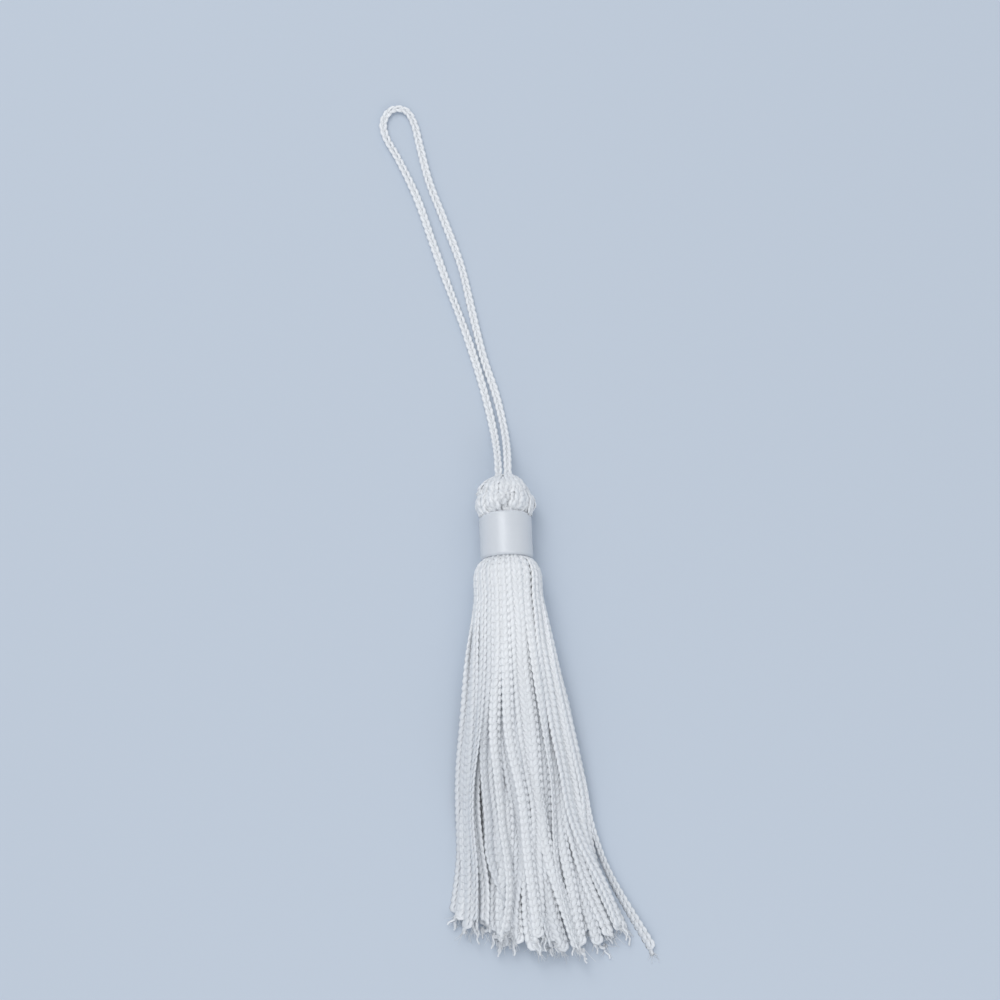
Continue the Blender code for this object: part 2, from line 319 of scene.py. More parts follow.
# The cord's route in millimetres from the head's top: along x, along y, and above the surface
hangingLoop = {
    "routeMm": (
        (-0.85, 0.3, 4.62), (-0.87, 2.2, 4.55), (-0.95, 4.6, 3.55), (-1.15, 7.4, 1.75),
        (-1.55, 10.6, 0.78), (-2.25, 14.5, 0.66), (-3.70, 21.0, 0.66), (-5.90, 29.0, 0.66),
        (-8.60, 37.5, 0.66), (-11.10, 46.0, 0.66), (-13.60, 54.5, 0.66), (-16.70, 62.0, 0.66),
        (-18.90, 66.5, 0.66), (-19.30, 69.6, 0.66), (-17.70, 71.9, 0.66), (-15.10, 71.7, 0.66),
        (-13.60, 69.0, 0.66), (-12.70, 64.5, 0.66), (-11.20, 57.5, 0.66), (-8.60, 49.5, 0.66),
        (-6.00, 41.0, 0.66), (-4.30, 32.0, 0.66), (-2.60, 23.5, 0.66), (-0.70, 16.5, 0.66),
        (0.30, 11.4, 0.80), (0.75, 7.7, 1.75), (0.88, 4.7, 3.55), (0.87, 2.2, 4.55),
        (0.85, 0.3, 4.62),
    ),
    "length": 0.150,  # from where it leaves the head to where it goes back in
    "diameter": 0.0015,
    "points": 600,
    "intoHead": 0.0040,  # each leg goes on this far inside the head
    "rollSwing": 22,  # degrees that the cord rolls about its own line
    "rollLength": 0.031,
    "width": 0.98,  # the stitches' width and thickness as shares of the drawn ones
    "thickness": 1.05,
    "press": 0.45,
    "tone": 0.8,  # between the yarn's two whites
}


def makeHangingLoop():
    # the stitches follow the route, and roll about it as a sine of the distance along it
    headTop = np.array([bandX, bandHigh.y + headLength, 0])
    route = np.array(hangingLoop["routeMm"]) * mm + headTop
    inside = [0, -hangingLoop["intoHead"], 0]
    path = smoothRoute([route[0] + inside, *route, route[-1] + inside], hangingLoop["points"])
    along = distanceAlong(path)
    turns = 2 * np.pi * along / hangingLoop["rollLength"]
    roll = math.radians(hangingLoop["rollSwing"]) * np.sin(turns)[:, None]
    flatSide = unit(np.cross(np.gradient(path, axis=0), [0, 0, 1.0]))
    upSide = unit(np.cross(flatSide, np.gradient(path, axis=0)))
    outward = np.cos(roll) * upSide + np.sin(roll) * flatSide
    tube = knitAlong(path, outward, *(np.full(len(path), hangingLoop[share])
                                      for share in ("width", "thickness", "press")))
    keepOffFloor(tube)
    piece = meshPiece("hangingLoopChainette", *joinTubes([tube], [hangingLoop["tone"]]))
    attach(piece, "root")
    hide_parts("hanging_loop")
    print("hanging loop made,", round(float(along[-1]), 4), "m with its ends in the head")
    return piece


# The strands as they leave the neck, ring by ring, and the sections down the skirt at which they
# settle: distance below the band, half width, room for a strand across and up, height as a share
# of the neck's, and how freely the strands sink. The solid strands are settled in the same way
skirt = {
    "neckRings": ((0.0, 1), (0.00088, 6), (0.00176, 12), (0.00262, 18), (0.00345, 25)),
    "ringTurn": 0.2,
    "neckSpread": 0.00355,
    "columns": ("below", "halfWidth", "across", "up", "height", "sink"),
    "sections": (
        (0.0003, 0.0040, 0.00080, 0.00078, 1.00, 0.00),
        (0.0030, 0.0058, 0.00116, 0.00110, 1.10, 0.00),
        (0.0080, 0.0068, 0.00128, 0.00110, 1.07, 0.00),
        (0.0160, 0.0079, 0.00140, 0.00104, 0.93, 0.15),
        (0.0260, 0.0091, 0.00148, 0.00099, 0.77, 0.40),
        (0.0380, 0.0103, 0.00153, 0.00095, 0.62, 0.70),
        (0.0500, 0.0115, 0.00155, 0.00095, 0.51, 1.00),
        (0.0600, 0.0124, 0.00156, 0.00095, 0.45, 1.00),
        (0.0760, 0.0134, 0.00156, 0.00095, 0.40, 1.00),
    ),
    "length": 0.0710,
    "rootDepth": 0.0010,
    "gap": 0.0003,
    "settleAt": (0.0030, 0.0755, 0.0020),  # the first and last settled section, and the step
    "solidFill": 0.72,
    "lockWidth": 0.0019,
    "lockPhase": 1.0,
    "lockPull": 0.00035,
    "strayPull": 0.0008,
    "strayTurn": 5.0,
    "fanPull": 0.03,
    "heightPull": 0.05,
    "sweep": 0.0015,
    "sinkStep": 0.000007,
    "closest": 0.05,  # least distance between two strands, as a share of their room, that counts
    "pushOut": 0.25,
    "settleRounds": 60,
    "partRounds": 40,
    "smoothings": 3,
    "seed": 3,
    "shortUnder": 0.0030,
    "shortSides": 0.0022,
    "uneven": 0.0019,
    "looseStrands": ((-1, 0.0030, 0.0015), (1, 0.0022, 0.0030)),
    "looseHeight": 0.0008,
    "curlLength": 0.0260,
}


def sectionAt(below):
    table = np.array(skirt["sections"])
    return {
        column: np.interp(below, table[:, 0], table[:, place])
        for place, column in enumerate(skirt["columns"])
    }


def neckPlaces():
    # rings about a middle strand: radius x (cos a, sin a), each ring turned a little further
    places = []
    for ring, (radius, count) in enumerate(skirt["neckRings"]):
        turns = 2 * np.pi * (np.arange(count) + 0.5 * (ring % 2) + skirt["ringTurn"] * ring) / count
        places.append(np.stack([radius * np.cos(turns), radius * np.sin(turns)], axis=1))
    return np.vstack(places)


def pushApart(places, room, lowest):
    # two strands touch where the fourth powers of their offsets, as shares of the room, add up to
    # 1, and nearer ones give way by a share of the offset
    offset = places[:, None] - places[None]
    distance = ((np.abs(offset) / room) ** 4).sum(axis=2) ** 0.25
    np.fill_diagonal(distance, np.inf)
    overlap = np.clip(1 / np.maximum(distance, skirt["closest"]) - 1, 0, 1)
    places += skirt["pushOut"] * (offset * overlap[:, :, None]).sum(axis=1)
    places[:, 1] = np.maximum(places[:, 1], lowest)


def settleStrands():
    # each section starts from the one above it; every strand is drawn to its place in the fan,
    # sinks, and is pushed out of its neighbours' room; gives sections x strands x (across, up)
    random = np.random.default_rng(skirt["seed"])
    neck = neckPlaces()
    ownWay = random.uniform(-1, 1, len(neck))
    ownPhase = random.uniform(0, 2 * np.pi, len(neck))
    lock = skirt["lockPull"] * np.sin(2 * np.pi * neck[:, 0] / skirt["lockWidth"] + skirt["lockPhase"])
    first, last, step = skirt["settleAt"]
    neckBelows = [-skirt["rootDepth"], skirt["gap"], 0.5 * (skirt["gap"] + first)]
    belows = np.concatenate([neckBelows, np.arange(first, last, step)])
    places = neck + [0, axisHeight]
    rows = []
    for below in belows:
        if below > skirt["gap"]:
            section = sectionAt(below)
            room = np.array([section["across"], section["up"]])
            lowest = section["up"] * skirt["solidFill"] / 2
            down = below / skirt["length"]
            stray = skirt["strayPull"] * ownWay * np.sin(ownPhase + skirt["strayTurn"] * down)
            across = neck[:, 0] / skirt["neckSpread"] * (section["halfWidth"] - room[0] / 2)
            across += down * (lock + stray) + skirt["sweep"] * down**2
            up = axisHeight + neck[:, 1] / skirt["neckSpread"] * (axisHeight - lowest)
            up *= section["height"]
            places = places.copy()
            for _ in range(skirt["settleRounds"]):
                places[:, 0] += skirt["fanPull"] * (across - places[:, 0])
                hold = skirt["heightPull"] * (1 - section["sink"])
                places[:, 1] += hold * (up - places[:, 1]) - section["sink"] * skirt["sinkStep"]
                pushApart(places, room, lowest)
                pushApart(places, room, lowest)
            for _ in range(skirt["partRounds"]):
                pushApart(places, room, lowest)
        rows.append(places.copy())
    rows = np.array(rows)
    for _ in range(skirt["smoothings"]):
        smoothRows(rows[1:])
    lowest = sectionAt(belows)["up"] * skirt["solidFill"] / 2
    rows[:, :, 1] = np.maximum(rows[:, :, 1], lowest[:, None])
    return belows, rows


def cutLengths(ends):
    # shorter underneath and at the sides, and cut unevenly
    random = np.random.default_rng(skirt["seed"] + 1)
    height = np.clip(ends[:, 1] / ends[:, 1].max(), 0, 1)
    side = np.abs(ends[:, 0]) / np.abs(ends[:, 0]).max()
    lengths = skirt["length"] - skirt["shortUnder"] * (1 - height) - skirt["shortSides"] * side**2
    return lengths + skirt["uneven"] * random.uniform(-1, 1, len(ends))


def curlLooseStrands(belows, rows, lengths):
    # the outermost strand on the surface curls out by the square of its way along its last stretch
    curl = np.clip((belows - (skirt["length"] - skirt["curlLength"])) / skirt["curlLength"], 0, None) ** 2
    onFloor = rows[-1, :, 1] < skirt["looseHeight"]
    for side, out, longer in skirt["looseStrands"]:
        strand = np.argmax(np.where(onFloor, side * rows[-1, :, 0], -1))
        rows[:, strand, 0] += side * out * curl
        lengths[strand] += longer


# How the knitted strands lie on those lines
lie = {
    "seed": 11,
    "deepRoot": 0.0030,  # they start this far inside the band
    "routePoints": 240,
    "spacing": 0.0004,  # between points along a strand's path
    # strands that show in a hollow of the top rise towards their neighbours
    "hiddenUnder": 0.0005,
    "hiddenWithin": 0.0007,
    "hollowWidth": 0.0060,
    "hollowFill": 0.9,
    "fillRounds": 3,
    "fillSmoothings": 2,
    "fillFrom": 5,  # sections below the band over which this sets in
    "lift": 0.00016,
    "liftLength": 0.02,
    "floorRoom": 0.00050,  # lowest height of a strand's middle, from a little below the band on
    "floorRoomFrom": 0.0040,
    "fullWidth": 0.00150,  # of the knitted cord at its natural size
    "fullThickness": 0.00096,
    "widths": (0.96, 1.06),  # the strands differ a little
    "thicknesses": (0.96, 1.10),
    "shoulder": 0.00125,  # the outer strands bulge out by this just below the band
    "shoulderRise": (-0.0004, 0.0009),
    "shoulderFall": (0.0009, 0.0080),
    # neighbours wave sideways together, in locks, and each a little by itself
    "lockWave": 0.00068,
    "lockWaveLength": 0.037,
    "lockPhases": (2.6, 0.8, 4.0),
    "wave": 0.00020,
    "waveLength": (0.016, 0.034),
    "topQuantiles": (0.45, 0.95),  # shares of the strands that lie below the top and under it
    "topWander": 0.0013,  # the topmost strands wander sideways by up to this
    "wanderLeast": 0.2,
    "wanderPower": 1.5,  # of the share of the way down
    "topLift": 0.00025,
    "rideUp": 0.00034,  # some of them ride on their neighbours lower down
    "rideUpShare": 0.35,
    "rideUpFade": (0.2, 0.5),
    "flare": (-0.0008, 0.0065),  # how far the fan opens at its ends on the left and on the right
    "flarePower": 3,
    "endSlope": 0.0034,  # the strands on the right hang this much lower, those on the left end higher
    # stray strands on top: where across the fan at its end (-1 to 1), how far each bends sideways,
    # the shares of its length between which it does, and the degrees that it turns on edge
    "strays": (
        (-0.28, 0.0062, 0.76, 1.06, 70),
        (0.05, 0.0030, 0.40, 0.95, 20),
        (-0.62, -0.0014, 0.55, 1.00, -40),
        (0.48, -0.0026, 0.35, 0.90, 50),
        (0.80, 0.0028, 0.60, 1.00, 30),
    ),
    "strayTop": 0.5,  # how much a stray's place gives way to one nearer the top
    "strayLift": 0.00060,
    "strayLead": 0.25,
    "droop": 0.30,  # the ends sink by this share of their height
    "droopFade": (0.72, 1.04),
    "hooks": 0.30,  # share of strands whose cut end curls aside
    "hookReach": (0.0005, 0.0018),
    "hookFade": (0.93, 1.04),
    "rollFade": (0.006, 0.034),
    "rollSpread": 18,  # degrees
    "rollSway": 0.5,  # a sway along the strand, as a share of that, and its speed
    "rollSwaySpeed": 4,
    "fanRoll": 0.5,  # radians at the fan's sides, where the strands lean outwards
    "onEdge": 0.16,  # share of strands that turn on edge lower down
    "onEdgeRoll": (50, 80),
    "onEdgeFade": (0.25, 0.6),
    "backShows": 0.4,  # share of strands that lie with their back up
    "press": (0.80, 0.95),  # how flat the stitches are pressed low down, and at the band
    "pressFade": (0.012, 0.052),
    "broad": (1.26, 1.50),  # how much broader a strand is unpressed, and pressed
    "endShrink": 0.34,  # the last stitches draw in by this, and lie flat
    "endShrinkLength": 0.0035,
    "phase": 0.6,  # neighbours' stitches start within this share of a pitch of each other
    "headingPoints": 5,  # a cut end heads the way that this many of its last steps go
    "paintedShadeFall": 0.6,  # how much darker painted shade makes the strands past a stretch, in shares of their length
    "paintedShadeFade": (0.10, 0.45),
    "toneSpread": 0.25,
    "pieces": 4,
}

# The cut ends: fine broken filaments, and a few crimped ends of yarn
fray = {
    "seed": 17,
    "cutBack": (5, 10),  # rings that the last stitch loses, which leaves a hook of it
    "root": 0.0005,  # loose threads start this far inside the strand
    "filaments": 11,
    "filament": {
        "radius": 0.000060, "length": (0.0006, 0.0022), "spread": (0.55, 0.55, 0.275),
        "points": 7, "sides": 3, "tip": 0.5,
    },
    "bend": 0.5,
    "rootSpread": (0.0004, 0.00024, 0.0002),
    "yarns": 3,  # each strand may have this many loose ends of yarn, and has this share of them
    "yarnShare": 0.27,
    "yarn": {
        "radius": 0.00021, "length": (0.0007, 0.0024), "spread": (0.25, 0.25, 0.075),
        "points": 18, "sides": 6, "tip": 0.75,
    },
    "apart": 0.0003,
    "crimp": 0.00018,
    "crimpLength": 0.0017,
}
crossways = (0.3, 0.1, 1.0)  # a direction that no loose end follows


def easeBetween(low, high, values):
    # 0 below low and 1 above high, by 3 s^2 - 2 s^3 between them
    share = np.clip((values - low) / (high - low), 0, 1)
    return share * share * (3 - 2 * share)


def roundTube(path, thread):
    # a circle about each point of the path, square to it: radius x (cos a n + sin a b), and the
    # radius runs down evenly to its share at the tip
    tangents = unit(np.gradient(path, axis=0))
    normals = unit(np.cross(tangents, crossways))
    binormals = np.cross(tangents, normals)
    turns = fullTurn(thread["sides"])[None, :, None]
    radii = thread["radius"] * np.linspace(1, thread["tip"], len(path))[:, None, None]
    around = np.cos(turns) * normals[:, None] + np.sin(turns) * binormals[:, None]
    return path[:, None] + radii * around


def looseThread(thread, heading, random):
    # its length, the shares along it and the way it heads
    length = random.uniform(*thread["length"])
    share = np.linspace(0, 1, thread["points"])[:, None]
    return length, share, unit(heading + thread["spread"] * random.uniform(-1, 1, 3))


def frayedEnd(place, heading, random):
    # filament: place + heading x s + drift x s^2; yarn: the same with a sideways sine for its crimp
    tubes = []
    filament, yarn = fray["filament"], fray["yarn"]
    for _ in range(fray["filaments"]):
        length, share, aim = looseThread(filament, heading, random)
        drift = fray["bend"] * length * random.uniform(-1, 1, 3)
        root = place + random.uniform(-1, 1, 3) * fray["rootSpread"] - heading * fray["root"]
        path = root + aim * length * share + drift * share**2
        keepOffFloor(path, filament["radius"])
        tubes.append(roundTube(path, filament))
    for _ in range(random.binomial(fray["yarns"], fray["yarnShare"])):
        length, share, aim = looseThread(yarn, heading, random)
        side = unit(np.cross(aim, [0, 0, 1.0]))
        turns = 2 * np.pi * share * length / fray["crimpLength"]
        root = place + fray["apart"] * random.uniform(-1, 1) * side - heading * fray["root"]
        path = root + aim * (length + fray["root"]) * share
        path += fray["crimp"] * np.sin(turns + random.uniform(0, 2 * np.pi)) * side
        keepOffFloor(path, yarn["radius"] + floorGap)
        tubes.append(roundTube(path, yarn))
    return tubes


def fillHollows(rows):
    # a strand that shows from above between two higher ones is raised towards them: the height that
    # a neighbour gives is z - (distance across)^2 / hollow width, and the lower of both sides counts
    across = rows[:, :, None, 0] - rows[:, None, :, 0]
    higher = rows[:, None, :, 1] - rows[:, :, None, 1]
    hidden = np.clip(higher / lie["hiddenUnder"], 0, 1) * np.exp(-(across / lie["hiddenWithin"]) ** 2)
    shows = 1 - np.clip(hidden.sum(axis=2), 0, 1)
    given = rows[:, None, :, 1] - across**2 / lie["hollowWidth"]
    left = np.where(across > 0, given, 0).max(axis=2)
    right = np.where(across < 0, given, 0).max(axis=2)
    raised = lie["hollowFill"] * shows * np.clip(np.minimum(left, right) - rows[:, :, 1], 0, None)
    for _ in range(lie["fillSmoothings"]):
        smoothRows(raised)
    rows[:, :, 1] += raised * easeBetween(0, 1, np.arange(len(rows)) / lie["fillFrom"])[:, None]


def strandPath(route, strand):
    # carries a settled line on into the band, reads it evenly, and bulges it out below the band
    root = route[0] + [0, lie["deepRoot"] - skirt["rootDepth"], 0]
    path = smoothRoute(np.vstack([root, route]), lie["routePoints"])
    along = np.arange(0, strand["length"] + lie["deepRoot"], lie["spacing"])
    path = readAt(path, distanceAlong(path), along)
    below = bandLow.y - path[:, 1]
    bulge = lie["shoulder"] * easeBetween(*lie["shoulderRise"], below)
    bulge *= 1 - easeBetween(*lie["shoulderFall"], below)
    path[:, 0] += strand["outwards"][0] * bulge
    path[:, 2] += strand["outwards"][1] * bulge
    return path


def waveStrand(path, strand, below, share, random):
    # sines of the distance below the band move the strand sideways, in its lock and by itself; the
    # fan opens by a power of the way down, and the topmost strands wander and rise
    phase, second = random.uniform(0, 2 * np.pi, 2)
    waveLength, longWave = random.uniform(*lie["waveLength"], 2)
    wave = np.sin(2 * np.pi * below / waveLength + phase)
    lock = np.sin(2 * np.pi * below / lie["lockWaveLength"] + strand["lockPhase"])
    wander = np.sin(np.pi * below / longWave + second) * random.uniform(lie["wanderLeast"], 1)
    path[:, 0] += share * (lie["wave"] * wave + lie["lockWave"] * lock)
    path[:, 0] += lie["topWander"] * strand["topness"] * share ** lie["wanderPower"] * wander
    path[:, 0] += lie["flare"][int(strand["fan"] > 0)] * abs(strand["fan"]) * share ** lie["flarePower"]
    path[:, 2] += lie["topLift"] * strand["topness"] * share * (1 + wave)
    if random.random() < lie["rideUpShare"]:
        path[:, 2] += lie["rideUp"] * strand["topness"] * easeBetween(*lie["rideUpFade"], share)
    return phase


def bendStrand(path, strand, below, share, random):
    # strays bend aside, some cut ends hook, and all sink, each by an ease along the strand; gives
    # the degrees that the strand turns on edge
    tip = 0
    if strand["stray"]:
        aside, start, end, tip = strand["stray"]
        path[:, 0] += aside * easeBetween(start, end, share)
        path[:, 2] += lie["strayLift"] * easeBetween(start - lie["strayLead"], start, share)
    elif random.random() < lie["onEdge"]:
        tip = random.uniform(*lie["onEdgeRoll"]) * random.choice([-1, 1])
    if random.random() < lie["hooks"]:
        reach = random.uniform(*lie["hookReach"]) * random.choice([-1, 1])
        path[:, 0] += reach * easeBetween(*lie["hookFade"], share)
    path[:, 2] += lie["lift"] * np.clip(below / lie["liftLength"], 0, 1)
    path[:, 2] *= 1 - lie["droop"] * easeBetween(*lie["droopFade"], share)
    room = lie["floorRoom"] * np.clip(below / lie["floorRoomFrom"], 0, 1)
    path[:, 2] = np.maximum(path[:, 2], room)
    return tip


def faceOf(path, strand, below, share, phase, tip, random):
    # the strand's face, as a direction at each point: (sin a, 0, cos a), where the angle a goes
    # from radial at the neck to nearly level lower down
    radial = math.atan2(*strand["outwards"])
    if abs(radial) > math.pi / 2:
        radial -= math.copysign(math.pi, radial)
    settle = easeBetween(*lie["rollFade"], below)
    sway = random.uniform(-1, 1) + lie["rollSway"] * np.sin(lie["rollSwaySpeed"] * share + phase)
    rest = math.radians(lie["rollSpread"]) * sway
    rest += math.radians(tip) * easeBetween(*lie["onEdgeFade"], share)
    rest += lie["fanRoll"] * (path[:, 0] - bandX) / sectionAt(below)["halfWidth"]
    roll = radial * (1 - settle) + rest * settle
    if random.random() < lie["backShows"]:
        roll = roll + math.pi
    return np.stack([np.sin(roll), np.zeros(len(path)), np.cos(roll)], axis=1)


def knitStrand(path, outward, strand, below, random):
    # flat and broad stitches where the band squeezes them, and again at the cut end
    section = sectionAt(below)
    squeezed = 1 - easeBetween(*lie["pressFade"], below)
    press = between(lie["press"], squeezed)
    broad = between(lie["broad"], press)
    length = strand["length"]
    atEnd = easeBetween(length - lie["endShrinkLength"], length, below)
    width = (1 - lie["endShrink"] * atEnd) * broad * section["across"] / lie["fullWidth"]
    width = width * random.uniform(*lie["widths"])
    thickness = section["up"] / lie["fullThickness"] * random.uniform(*lie["thicknesses"])
    press = press + (1 - press) * atEnd
    start = random.uniform(0, lie["phase"]) * chainette["pitch"] * mm
    return knitAlong(path, outward, width, thickness, press, start)


def skirtStrand(route, strand, random, cutter):
    # the settled line, then its waves, its bends and its face, knitted along and frayed at the cut
    path = strandPath(route, strand)
    below = bandLow.y - path[:, 1]
    share = np.clip(below / strand["length"], 0, 1)
    phase = waveStrand(path, strand, below, share, random)
    tip = bendStrand(path, strand, below, share, random)
    outward = faceOf(path, strand, below, share, phase, tip, random)
    tube = knitStrand(path, outward, strand, below, random)
    tube = tube[:len(tube) - cutter.integers(*fray["cutBack"])]
    keepOffFloor(tube)
    heading = unit(path[-1] - path[-1 - lie["headingPoints"]])
    return [tube, *frayedEnd(tube[-1].mean(axis=0), heading, cutter)]


def chooseStrays(topness, fan):
    # a stray is the strand nearest its place across the fan, counting depth below the top as well
    strays = {}
    for place, *bend in lie["strays"]:
        distance = np.abs(fan - place) + lie["strayTop"] * (1 - topness)
        distance[list(strays)] = np.inf
        strays[int(np.argmin(distance))] = bend
    return strays


def skirtTubes():
    # every strand's tubes, and where across the fan it ends; across the fan the phases of the
    # strands' common wave go by spread x fan + swing x sin(swings x fan)
    random = np.random.default_rng(lie["seed"])
    cutter = np.random.default_rng(fray["seed"])
    belows, rows = settleStrands()
    lengths = cutLengths(rows[-1])
    curlLooseStrands(belows, rows, lengths)
    for _ in range(lie["fillRounds"]):
        fillHollows(rows)
    heights = rows[len(rows) // 2, :, 1]
    topness = easeBetween(*np.quantile(heights, lie["topQuantiles"]), heights)
    fan = rows[-1, :, 0] / np.abs(rows[-1, :, 0]).max()
    lengths = lengths + lie["endSlope"] * fan
    strays = chooseStrays(topness, fan)
    spread, swing, swings = lie["lockPhases"]
    lockPhases = spread * fan + swing * np.sin(swings * fan)
    strands = []
    for number, place in enumerate(neckPlaces()):
        strand = {
            "outwards": place / skirt["neckSpread"],
            "length": lengths[number],
            "topness": topness[number],
            "fan": fan[number],
            "lockPhase": lockPhases[number],
            "stray": strays.get(number),
        }
        lower = belows <= strand["length"] + lie["deepRoot"]
        across, up = rows[lower, number].T
        route = np.stack([bandX + across, bandLow.y - belows[lower], up], axis=1)
        strands.append(skirtStrand(route, strand, random, cutter))
    return strands, rows[-1, :, 0]


def toneAndPaintedShade(tube, own):
    # painted shade: brightest where the cords are packed under the band and darker lower down the skirt,
    # with each strand's own tone spread at random about that
    down = (bandLow.y - tube[:, :, 1].mean(axis=1)) / skirt["length"]
    paintedShade = lie["paintedShadeFall"] * easeBetween(*lie["paintedShadeFade"], down)
    return np.clip(1 - paintedShade + lie["toneSpread"] * own, 0, 1)


def makeSkirt():
    # the strands from left to right, in a few pieces of as many strands each
    strands, middles = skirtTubes()
    random = np.random.default_rng(lie["seed"] + 1)
    order = np.argsort(middles)
    pieces = []
    for part, chosen in enumerate(np.array_split(order, lie["pieces"])):
        tubes, shades = [], []
        for strand, own in zip(chosen, random.uniform(-1, 1, len(chosen))):
            tubes += strands[strand]
            shades += [toneAndPaintedShade(tube, own) for tube in strands[strand]]
        piece = meshPiece(f"skirtStrands{part + 1}", *joinTubes(tubes, shades))
        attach(piece, "root")
        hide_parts("folded_strands")
        pieces.append(piece)
    print("skirt made,", len(strands), "strands")
    return pieces


# The folded cords' outline over the head's own puffs: height above the band as a share of the
# head's length, radius and height of a puff in metres, and the tier of puffs
head = {
    "puffs": 9,
    "tiers": 2,
    "puffRoundness": 0.6,
    "puffLeast": 0.35,
    "puffTurn": 0.45,
    "puffMiddle": 0.45,
    "puffSeed": 3,
    "rings": (
        (-0.14, 0.00395, 0.0, 0), (0.00, 0.00430, 0.0, 0), (0.05, 0.00495, 0.00030, 0),
        (0.13, 0.00530, 0.00065, 0), (0.24, 0.00548, 0.00085, 0), (0.35, 0.00540, 0.00085, 0),
        (0.44, 0.00510, 0.00060, 0), (0.51, 0.00482, 0.00015, 1), (0.59, 0.00485, 0.00065, 1),
        (0.69, 0.00450, 0.00085, 1), (0.79, 0.00390, 0.00085, 1), (0.89, 0.00305, 0.00060, 1),
        (0.96, 0.00220, 0.00020, 1), (1.00, 0.00120, 0.0, 1), (0.93, 0.00050, 0.0, 1),
    ),
    "puffShare": 1.35,  # the drawn puffs stand out this much more than the solid's
    "folds": 33,
    "innerFolds": 31,
    "innerDepth": 0.00055,  # the folds underneath lie this much deeper
    "seed": 5,
    "offPlace": 0.22,  # share of the space between folds by which a fold is off its place
    "drift": 0.05,  # radians that a fold wanders round the head from ring to ring
    "cordDepth": 0.00040,  # a fold's middle lies this far inside the head's outline
    "depths": (-0.00020, 0.00025),  # and a little less or more
    "heights": (0.93, 1.03),
    # a groove above the band, whose shade shows: its depth, and its place and reach as shares
    "groove": 0.00105,
    "grooveBell": (0.05, 0.06),
    # clear of the floor and of the top the lobes at the rim hang over the band by up to this
    "rim": 0.00150,
    "rimRandom": 0.25,
    "rimBell": (0.07, 0.05),
    "rimOut": 0.00025,
    "overFloor": (-0.5, 0.2),  # sines of the turns between which this sets in
    "clearOfTop": 40,  # degrees
    "lobes": 5,
    "lobeTurn": 0.6,
    "notch": 0.00150,  # a notch in the rim on top, where the neck shows
    "notchBell": (86, 14),  # degrees round from +x, where 90 is straight up, and its width
    "notchReach": 0.3,
    "notchFrom": (-0.14, 0.05),
    "stops": 3,  # a fold ends on one of this many rings at the top, and dives a little inwards
    "dive": 0.4,
    "diveRing": -4,
    "points": 90,
    "floorRoom": 0.00042,
    "faceMiddle": 0.25,  # the folds face away from a point at this height
    "press": 0.92,
    "width": (1.15, 1.45),
    "widthFade": 0.0042,  # nearer to the axis than this the folds narrow, to this share at most
    "widthLeast": 0.35,
    "thickness": (0.65, 0.92),
    "tones": (0.8, 1.0),
    "coreShare": 0.80,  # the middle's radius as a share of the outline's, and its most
    "coreWidest": 0.0034,
    "coreDrop": 0.04,
    "coreRings": 13,
    "coreSides": 32,
    "coreFloor": 0.0008,
}


def puffHeights(turns, tiers):
    # |sin| of each puff's share of the turn, to a power under 1, times the puff's own height
    random = np.random.default_rng(head["puffSeed"])
    crowns = random.uniform(head["puffLeast"], 1, (head["tiers"], head["puffs"]))
    puffs = head["puffs"] * (turns % (2 * np.pi)) / (2 * np.pi) + head["puffTurn"] * tiers
    bulge = np.abs(np.sin(np.pi * puffs)) ** head["puffRoundness"]
    return crowns[tiers, puffs.astype(int) % head["puffs"]] * bulge


def bell(values, middle, reach):
    # exp(-((value - middle) / reach)^2)
    return np.exp(-((values - middle) / reach) ** 2)


def foldRoute(turn, depth, random, stops):
    # a fold's middle line: radius(share of height) about the tassel's axis, with the puffs added,
    # at a turn that wanders a little from ring to ring
    height, outline, puff, tiers = np.array(head["rings"]).T
    turns = turn + head["drift"] * np.cumsum(random.uniform(-1, 1, len(height)))
    puffs = puffHeights(turns, tiers.astype(int))
    radii = outline + head["puffShare"] * puff * (puffs - head["puffMiddle"])
    radii = radii - head["cordDepth"] - depth + random.uniform(*head["depths"])
    ups = bandHigh.y + height * headLength * random.uniform(*head["heights"])
    # the rim: a lobe's share is half of 1 + sin(lobes x turn), with some chance; notch and groove
    # are bell curves, and the groove stays open where no lobe hangs
    high = easeBetween(*head["overFloor"], math.sin(turn))
    lobe = 0.5 + 0.5 * math.sin(head["lobes"] * turn + head["lobeTurn"])
    notch = bell(math.degrees(turn), *head["notchBell"])
    aside = 1 - bell(math.degrees(turn), head["notchBell"][0], head["clearOfTop"])
    uneven = head["rimRandom"]
    hang = (uneven * random.uniform(0, 1) + (1 - uneven) * lobe) * high * aside
    overBand = bell(height, *head["rimBell"])
    ups = ups - head["rim"] * hang * overBand
    drawnUp = bell(height, 0, head["notchReach"]) * easeBetween(*head["notchFrom"], height)
    ups = ups + head["notch"] * notch * drawnUp
    radii = radii + head["rimOut"] * high * overBand
    radii = radii - (1 - hang) * (head["groove"] * bell(height, *head["grooveBell"]))
    route = aboutAxis(radii, turns, ups)
    if stops:
        heart = np.array([bandX, ups[head["diveRing"]], axisHeight])
        route = route[:-stops]
        route = np.vstack([route, route[-1] + head["dive"] * (heart - route[-1])])
    return route


